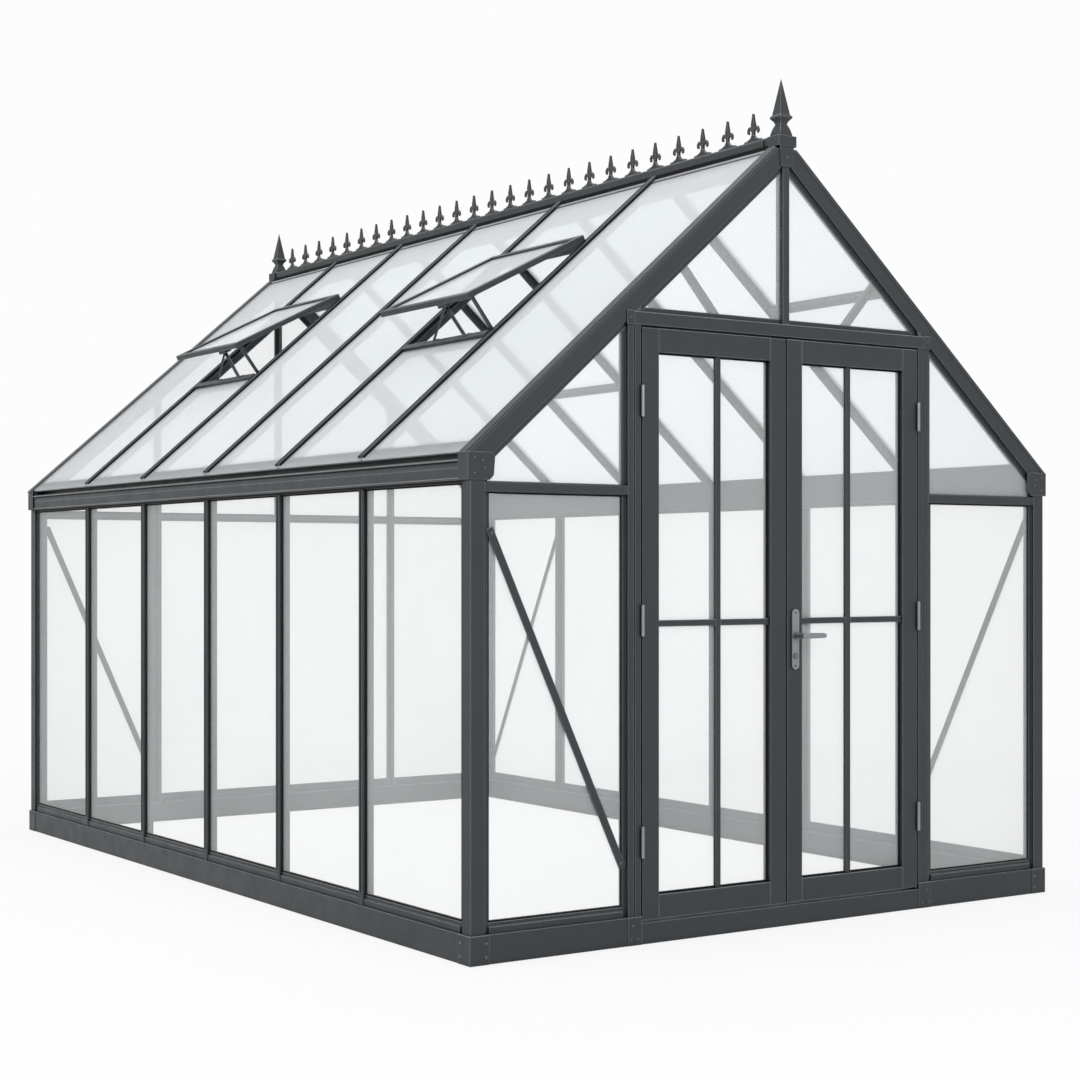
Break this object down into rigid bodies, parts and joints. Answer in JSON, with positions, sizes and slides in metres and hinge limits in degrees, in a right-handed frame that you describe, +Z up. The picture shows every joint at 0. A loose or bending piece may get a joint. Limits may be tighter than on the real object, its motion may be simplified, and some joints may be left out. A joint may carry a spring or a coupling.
{
  "type": "greenhouse",
  "caption": "Freestanding apex greenhouse: dark metal frame, clear walls, translucent pitched roof with open vents, glazed double doors, and a crested ridge with finials.",
  "frame": {"origin": "under the middle of the whole object, in the ground plane that the base frame stands on", "axes": "+X across the front gable towards its right as seen from outside, +Y from the door gable to the back gable along the ridge, +Z up"},
  "size_m": [2.416, 3.7124, 2.7302],
  "materials": {
    "frame": "satin powder coat, anthracite grey",
    "wall_glazing": "clear flat sheet",
    "roof_glazing": "translucent twin-wall sheet with fine ribs down the slope",
    "hardware": "satin grey metal"
  },
  "bodies": {
    "structure": {"base_side_rails": "frame", "base_end_rails": "frame", "door_sill": "frame", "base_brackets": "frame", "left_sill_rail": "frame", "right_sill_rail": "frame", "end_sill_rails": "frame", "corner_posts": "frame", "left_wall_bars": "frame", "right_wall_bars": "frame", "back_wall_bars": "frame", "door_posts": "frame", "door_header": "frame", "transoms": "frame", "gable_bars": "frame", "apex_plates": "frame", "gutters": "frame", "eave_cover_plates": "frame", "left_gable_rafters": "frame", "right_gable_rafters": "frame", "ridge_beam": "frame", "ridge_cap": "frame", "ridge_cresting": "frame", "finials": "frame", "left_roof_bars": "frame", "right_roof_bars": "frame", "roof_cross_rails": "frame", "left_roof_panes": "roof_glazing", "right_roof_panes": "roof_glazing", "left_wall_panes": "wall_glazing", "right_wall_panes": "wall_glazing", "front_panes": "wall_glazing", "back_panes": "wall_glazing", "wall_braces": "frame", "vent_sashes": "frame", "vent_panes": "roof_glazing", "vent_stays": "frame", "door_hinges": "hardware"},
    "left_door": {"left_door_stiles": "frame", "left_door_rails": "frame", "left_door_muntins": "frame", "left_door_glass": "wall_glazing", "left_door_hinges": "hardware"},
    "right_door": {"right_door_stiles": "frame", "right_door_rails": "frame", "right_door_muntins": "frame", "right_door_glass": "wall_glazing", "right_door_hinges": "hardware", "handle_plates": "hardware"},
    "lever": {"lever_handle": "hardware"}
  },
  "joints": [
    {"name": "left_door_hinge", "type": "hinge", "parent": "structure", "child": "left_door", "pos_m": [-0.581, -1.80785, 0.989], "axis": [0, 0, -1], "range_deg": [0, 110]},
    {"name": "right_door_hinge", "type": "hinge", "parent": "structure", "child": "right_door", "pos_m": [0.581, -1.80785, 0.989], "axis": [0, 0, 1], "range_deg": [0, 110]},
    {"name": "lever_turn", "type": "hinge", "parent": "right_door", "child": "lever", "pos_m": [0.0345, -1.78385, 0.932], "axis": [0, 1, 0], "range_deg": [0, 45], "stiffness_Nm_per_rad": 1}
  ]
}
